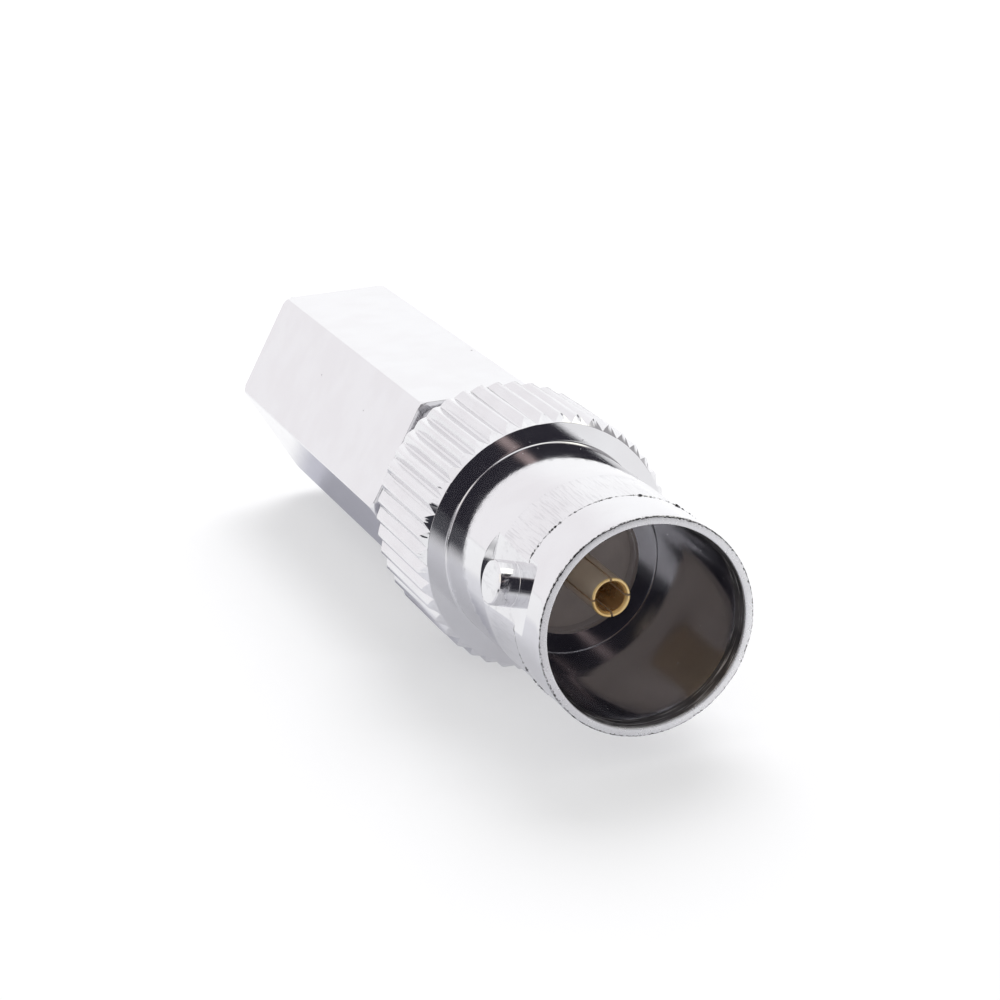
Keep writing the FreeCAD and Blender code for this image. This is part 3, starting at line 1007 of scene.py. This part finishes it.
contactForm = {
    "tip": 3.9,
    "radius": 0.89,
    "tipBevel": 0.05,
    "socketRadius": 0.67,
    "socketRear": 9.1,
    "socketBevel": 0.10,
    "socketBevelDepth": 0.14,
    "slotAngles": (0, 90, 180, 270),
    "slotHalf": 0.05,
    "slotRear": 8.7,
    "flangeRadius": 1.4,
    "flangeFront": 13.0,
    "flangeRear": 13.8,
    "rear": 22.8,
    "cupRadius": 0.6,
    "cupFront": 20.2,
    "scoopFront": 21.2,
    "sill": 0.15,
    "columnsBetween": 12,
}


def contactColumns():
    # (angle, offset) pairs: a column stands at its angle, or beside it by a fixed distance
    form = contactForm
    columns = []
    for degrees in form["slotAngles"]:
        centre = math.radians(degrees)
        columns += [(centre, -form["slotHalf"]), (centre, form["slotHalf"])]
        for k in range(1, form["columnsBetween"]):
            columns.append((centre + math.pi / 2 * k / form["columnsBetween"], 0.0))
    return columns


def makeContact():
    form = contactForm
    mesh = bmesh.new()
    columns = contactColumns()
    count = len(columns)
    shaft, socket, cup = form["radius"], form["socketRadius"], form["cupRadius"]
    tip, bevelEnd = form["tip"], form["tip"] + form["socketBevelDepth"]
    turning = [
        (shaft, form["slotRear"]),
        (shaft, tip + form["tipBevel"]),
        (shaft - 0.012, tip + 0.028),
        (shaft - 0.035, tip + 0.008),
        (shaft - form["tipBevel"], tip),
        (socket + form["socketBevel"], tip),
        (socket + form["socketBevel"] - 0.012, tip + 0.012),
        (socket + 0.008, bevelEnd - 0.01),
        (socket, bevelEnd + 0.01),
        (socket, form["slotRear"]),
    ]
    frontCount = len(turning)
    turning += [(socket, form["socketRear"]), (0.0, form["socketRear"])]
    rearStart = len(turning)
    turning += [
        (0.0, form["cupFront"]),
        (cup, form["cupFront"]),
        (cup, form["scoopFront"]),
        (cup, form["rear"]),
        (shaft, form["rear"]),
        (shaft, form["scoopFront"]),
        (shaft, form["flangeRear"]),
        (form["flangeRadius"], form["flangeRear"]),
        (form["flangeRadius"], form["flangeFront"]),
        (shaft, form["flangeFront"]),
    ]
    scoopRows = [rearStart + k for k in (2, 3, 4, 5)]

    def columnAngle(column, radius):
        centre, offset = columns[column]
        if radius <= abs(offset):
            return centre
        return centre + math.asin(offset / radius)

    loops = [addLoop(mesh, [polar(columnAngle(j, r), r, y) for j in range(count)]) for r, y in turning]
    slotColumns = [k * (form["columnsBetween"] + 1) for k in range(4)]
    # the scoop opens between the first and the last column above the sill
    scoopColumns = [j for j in range(count) if shaft * math.sin(columnAngle(j, shaft)) > form["sill"]]
    for j in (scoopColumns[0], scoopColumns[-1]):
        for i in scoopRows:
            vertex = loops[i][j].co
            flat = math.copysign(math.sqrt(turning[i][0] ** 2 - form["sill"] ** 2), vertex.x)
            loops[i][j].co = Vector((flat, vertex.y, form["sill"]))
    for i in range(len(loops)):
        after = (i + 1) % len(loops)
        for j in range(count):
            beside = (j + 1) % count
            slotted = i < frontCount - 1 and j in slotColumns
            scooped = i in scoopRows[:-1] and j in scoopColumns[:-1]
            if not (slotted or scooped or i == rearStart - 1):
                addQuad(mesh, loops[i], loops[after], j, beside)
    for j in slotColumns:
        for column in (j, (j + 1) % count):
            mesh.faces.new([loops[i][column] for i in range(frontCount)])
        addQuad(mesh, loops[0], loops[frontCount - 1], j, j + 1)
    for j in (scoopColumns[0], scoopColumns[-1]):
        mesh.faces.new([loops[i][j] for i in scoopRows])
    for j in scoopColumns[:-1]:
        addQuad(mesh, loops[scoopRows[0]], loops[scoopRows[-1]], j, j + 1)

    def pickFinish(centre, normal):
        if abs(normal.y) > 0.3 and centre.y < bevelEnd:
            return goldTip
        inside = math.hypot(centre.x, centre.z) < socket + 0.02
        return goldMouth if inside and centre.y < form["socketRear"] + 0.01 else goldPlate

    finishPiece(
        mesh, "centreContact", [goldPlate, goldTip, goldMouth], "centre_contact", pickFinish,
        lambda place: 28,
    )


makeContact()


# Plain turned pieces inside: outlines as (radius, depth), each corner eased a little

innerPieces = {
    "frontInsulator": {
        "node": "front_insulator",
        "slot": "insulator",
        "outline": [(0.9, 9.2), (3.19, 9.2), (3.29, 9.3), (3.29, 13.0), (0.9, 13.0)],
    },
    "rearInsulator": {
        "node": "rear_insulator",
        "slot": "insulator",
        "outline": [
            (1.41, 13.0), (3.29, 13.0), (3.29, 19.9), (3.19, 20.0), (0.9, 20.0), (0.9, 13.8), (1.41, 13.8),
        ],
    },
    "retainingRing": {
        "node": "retaining_ring",
        "slot": "bare_brass",
        "outline": [(2.2, 20.0), (3.29, 20.0), (3.29, 21.5), (2.2, 21.5)],
    },
    "braidClamp": {
        "node": "braid_clamp",
        "slot": "bare_brass",
        "outline": [
            (2.1, 23.8), (3.25, 23.8), (3.25, 26.0), (3.97, 26.0),
            (3.97, 27.2), (3.4, 27.2), (2.8, 28.1), (2.1, 28.1),
        ],
    },
    "cableGasket": {
        "node": "cable_gasket",
        "slot": "black_rubber",
        "outline": [(3.5, 27.2), (3.92, 27.2), (3.92, 30.8), (3.05, 30.8), (3.05, 28.1)],
    },
    "thrustWasher": {
        "node": "thrust_washer",
        "slot": "bare_brass",
        "outline": [(3.15, 30.8), (3.97, 30.8), (3.97, 31.6), (3.15, 31.6)],
    },
}
innerMaterials = {"insulator": insulatorPlastic, "bare_brass": bareBrass, "black_rubber": blackRubber}
for name, piece in innerPieces.items():
    slot = piece["slot"]
    turnedPiece(name, piece["outline"], [innerMaterials[slot]], piece["node"])


# Floor, studio light and camera

studio = {
    "floorSize": 3.0,
    "floorColour": (0.56, 0.56, 0.57, 1),
    "floorLift": 0.44,
    "white": (1.0, 1.0, 1.0, 1),
    "dome": 0.62,
    "softboxTurn": 150,
    "softboxRise": 48,
    "softboxDistance": 0.60,
    "softboxSize": 0.40,
    "softboxPower": 2.4,
    "tentRadius": 0.80,
    "tentStep": 2,
    # millimetres: height of the painted shadow film over the floor, and the lines of its grid as from, to,
    # step
    "shadowFilmLift": 0.02,
    "shadowFilmLines": ((-800, -240, 40), (-240, -60, 5), (-60, 60, 1), (60, 240, 5), (240, 801, 40)),
}
# What polished metal mirrors, in order, each panel over the ones before: directions in degrees
# turned from the mouth's side towards +X and raised from the floor, soft edges, and brightness.
tentPanels = {
    "walls": {"turn": (-180, 180), "rise": (-90, 90), "soft": 1, "tone": (1.15, 1.15, 1.16)},
    "leftWall": {"turn": (-175, -60), "rise": (-90, 50), "soft": 25, "tone": (1.04, 1.02, 1.04)},
    "topLamp": {"turn": (40, 95), "rise": (62, 80), "soft": 8, "tone": (1.40, 1.40, 1.34)},
    "leftGap": {"turn": (-104, -73), "rise": (-20, 17), "soft": 5, "tone": (0.04, 0.04, 0.05)},
    "rightGap": {"turn": (34, 112), "rise": (-20, 30), "soft": 16, "tone": (0.42, 0.41, 0.42)},
    "lugGap": {"turn": (28, 53), "rise": (22, 46), "soft": 4, "tone": (0.035, 0.035, 0.04)},
    "lugLamp": {"turn": (58, 112), "rise": (40, 54), "soft": 4, "tone": (1.70, 1.68, 1.55)},
    "lugLine": {"turn": (126, 136), "rise": (30, 42), "soft": 3, "tone": (0.10, 0.10, 0.11)},
    "creamWall": {"turn": (-82, -66), "rise": (25, 49), "soft": 3, "tone": (1.20, 1.13, 1.04)},
    "highGap": {"turn": (-70, -46), "rise": (46, 66), "soft": 6, "tone": (0.06, 0.05, 0.06)},
    "brim": {"turn": (-46, 36), "rise": (-20, 52), "soft": 6, "tone": (0.32, 0.29, 0.30)},
    "darkRoom": {"turn": (-36, 31), "rise": (-20, 46), "soft": 8, "tone": (0.032, 0.030, 0.040)},
    "warmStrip": {"turn": (7.4, 9.2), "rise": (12, 40), "soft": 3.5, "tone": (0.47, 0.37, 0.36)},
}
# Painted shadow: grey film on the floor that only polished metal sees, darkening the floor it mirrors where
# shade falls: centres and half widths in millimetres
floorShadowFilms = {
    "far": {"centre": (-40, -430), "reach": (330, 340), "soft": 0.3, "tone": (0.05, 0.05, 0.06)},
    "opening": {"centre": (-70, -125), "reach": (120, 120), "soft": 0.3, "tone": (0.10, 0.10, 0.11)},
    "side": {"centre": (-8, 11), "reach": (13, 22), "soft": 0.6, "tone": (0.84, 0.84, 0.87)},
    "front": {"centre": (-1, -21), "reach": (10.5, 14.5), "soft": 0.5, "tone": (0.70, 0.69, 0.71)},
    "sleeve": {"centre": (-3.5, 30), "reach": (5.5, 16), "soft": 0.3, "tone": (0.55, 0.55, 0.61)},
}


def backgroundRay(tree):
    # 1 where the camera sees the background, straight or in metal and glass
    seen = addNode(tree, "ShaderNodeLightPath").outputs
    mirrored = calculate(tree, "MAXIMUM", seen["Is Glossy Ray"], seen["Is Transmission Ray"])
    return calculate(tree, "MAXIMUM", seen["Is Camera Ray"], mirrored)


def setSurface(owner, makeSurface, output="ShaderNodeOutputMaterial"):
    # gives a material or a world nothing but the shader that makeSurface adds to its tree
    owner.use_nodes = True
    tree = owner.node_tree
    tree.nodes.clear()
    addNode(tree, output, {"Surface": makeSurface(tree).outputs[0]})
    return owner


def addSheet(name, places, faces, finish, makeSurface, shades=()):
    # studio mesh; one that has shades is seen by polished metal only
    data = bpy.data.meshes.new(name)
    data.from_pydata(places, [], faces)
    data.materials.append(setSurface(bpy.data.materials.new(finish), makeSurface))
    sheet = addObject(name, data)
    if shades:
        layer = data.color_attributes.new("shade", "FLOAT_COLOR", "POINT")
        for item, shade in zip(layer.data, shades):
            item.color = (*shade, 1.0)
        sheet.visible_camera = False
        sheet.visible_diffuse = False
        sheet.visible_shadow = False
    return sheet


def gridFaces(rows, columns, closed):
    # between neighbouring points that are listed row by row; a closed grid's rows are rings
    return [
        (i * columns + j, i * columns + after, (i + 1) * columns + after, (i + 1) * columns + j)
        for i in range(rows - 1)
        for j, after in enumerate([*range(1, columns)] + [0] * closed)
    ]


def makeFloor():
    half, low = studio["floorSize"] / 2, cadBox[0].z
    corners = [(-half, -half, low), (half, -half, low), (half, half, low), (-half, half, low)]

    def surface(tree):
        matt = addNode(tree, "ShaderNodeBsdfDiffuse", {"Color": studio["floorColour"]})
        lift = calculate(tree, "MULTIPLY", backgroundRay(tree), studio["floorLift"])
        glow = addNode(tree, "ShaderNodeEmission", {"Color": studio["white"], "Strength": lift})
        return addNode(tree, "ShaderNodeAddShader", {0: matt.outputs[0], 1: glow.outputs[0]})

    floor = addSheet("floor", corners, [(0, 1, 2, 3)], "paleFloor", surface)


def makeWorld():
    def surface(tree):
        dome = studio["dome"]
        strength = calculate(tree, "MULTIPLY_ADD", backgroundRay(tree), 1.0 - dome, dome)
        return addNode(tree, "ShaderNodeBackground", {"Color": studio["white"], "Strength": strength})

    scene.world = bpy.data.worlds.new("whiteStudio")
    setSurface(scene.world, surface, "ShaderNodeOutputWorld")


def easeOut(outside, soft):
    # 1 inside, easing to 0 over the soft edge outside
    share = min(1.0, max(0.0, outside) / soft)
    return 1 - share * share * (3 - 2 * share)


def direction(turn, rise):
    # towards this many degrees from the mouth's side and from the floor
    a, e = math.radians(turn), math.radians(rise)
    return Vector((math.sin(a) * math.cos(e), -math.cos(a) * math.cos(e), math.sin(e)))


def panelShare(panel, turn, rise):
    low, high = panel["turn"]
    away = abs((turn - (low + high) / 2 + 180) % 360 - 180) - (high - low) / 2
    above = max(panel["rise"][0] - rise, rise - panel["rise"][1])
    return easeOut(away, panel["soft"]) * easeOut(above, panel["soft"])


def shadowFilmShare(shadowFilm, x, y):
    across = (x - shadowFilm["centre"][0]) / shadowFilm["reach"][0]
    along = (y - shadowFilm["centre"][1]) / shadowFilm["reach"][1]
    return easeOut(math.hypot(across, along) - 1 + shadowFilm["soft"] / 2, shadowFilm["soft"])


def layered(layers, share, *place):
    # white with each layer's tone laid over it in turn, by the layer's share at this place
    tone = Vector((1.0, 1.0, 1.0))
    for layer in layers.values():
        tone = tone.lerp(Vector(layer["tone"]), share(layer, *place))
    return tone


def shadeOf(tree):
    return addNode(tree, "ShaderNodeAttribute", attribute_name="shade").outputs["Color"]


def makeTent():
    # light tent that only polished metal sees: white walls, dark opening on the camera's side
    turns = range(-180, 180, studio["tentStep"])
    rises = range(-2, 91, studio["tentStep"])
    places = [direction(turn, rise) * studio["tentRadius"] for rise in rises for turn in turns]
    shades = [layered(tentPanels, panelShare, turn, rise) for rise in rises for turn in turns]

    def surface(tree):
        return addNode(tree, "ShaderNodeEmission", {"Color": shadeOf(tree), "Strength": 1.0})

    faces = gridFaces(len(rises), len(turns), True)
    tent = addSheet("lightTent", places, faces, "tentCloth", surface, shades)


def makeShadowFilm():
    # painted floor shadow: a see-through grey sheet just over the floor, seen only in reflections
    low = cadBox[0].z + studio["shadowFilmLift"] * mm
    lines = [line for part in studio["shadowFilmLines"] for line in range(*part)]
    places = [(x * mm, y * mm, low) for y in lines for x in lines]
    shades = [layered(floorShadowFilms, shadowFilmShare, x, y) for y in lines for x in lines]

    def surface(tree):
        return addNode(tree, "ShaderNodeBsdfTransparent", {"Color": shadeOf(tree)})

    faces = gridFaces(len(lines), len(lines), False)
    shadowFilm = addSheet("paintedFloorShadow", places, faces, "paintedShadowFilm", surface, shades)


def makeSoftbox():
    data = bpy.data.lights.new("softbox", "AREA")
    data.shape = "SQUARE"
    data.size = studio["softboxSize"]
    data.energy = studio["softboxPower"]
    lamp = addObject("softbox", data)
    place = direction(studio["softboxTurn"], studio["softboxRise"])
    lamp.location = place * studio["softboxDistance"]
    lamp.rotation_euler = (-place).to_track_quat("-Z", "Y").to_euler()
    lamp.visible_glossy = False
    lamp.visible_camera = False


cameraForm = {
    "place": (-42.37, -101.52, 42.90),
    "forward": (0.3180, 0.8926, -0.3194),
    "up": (0.1533, 0.2840, 0.9464),
    "lens": 102.6,
    "sensor": 36.0,
}


def makeCamera():
    data = bpy.data.cameras.new("camera")
    data.lens = cameraForm["lens"]
    data.sensor_width = cameraForm["sensor"]
    data.clip_start = 0.01
    data.clip_end = 10.0
    camera = addObject("camera", data)
    forward = Vector(cameraForm["forward"]).normalized()
    right = forward.cross(Vector(cameraForm["up"])).normalized()
    up = right.cross(forward)
    turn = Matrix((right, up, -forward)).transposed()
    camera.matrix_world = Matrix.Translation(Vector(cameraForm["place"]) * mm) @ turn.to_4x4()
    scene.camera = camera


makeFloor()
makeWorld()
makeTent()
makeShadowFilm()
makeSoftbox()
makeCamera()
scene.view_settings.view_transform = "Standard"
print("studio made")
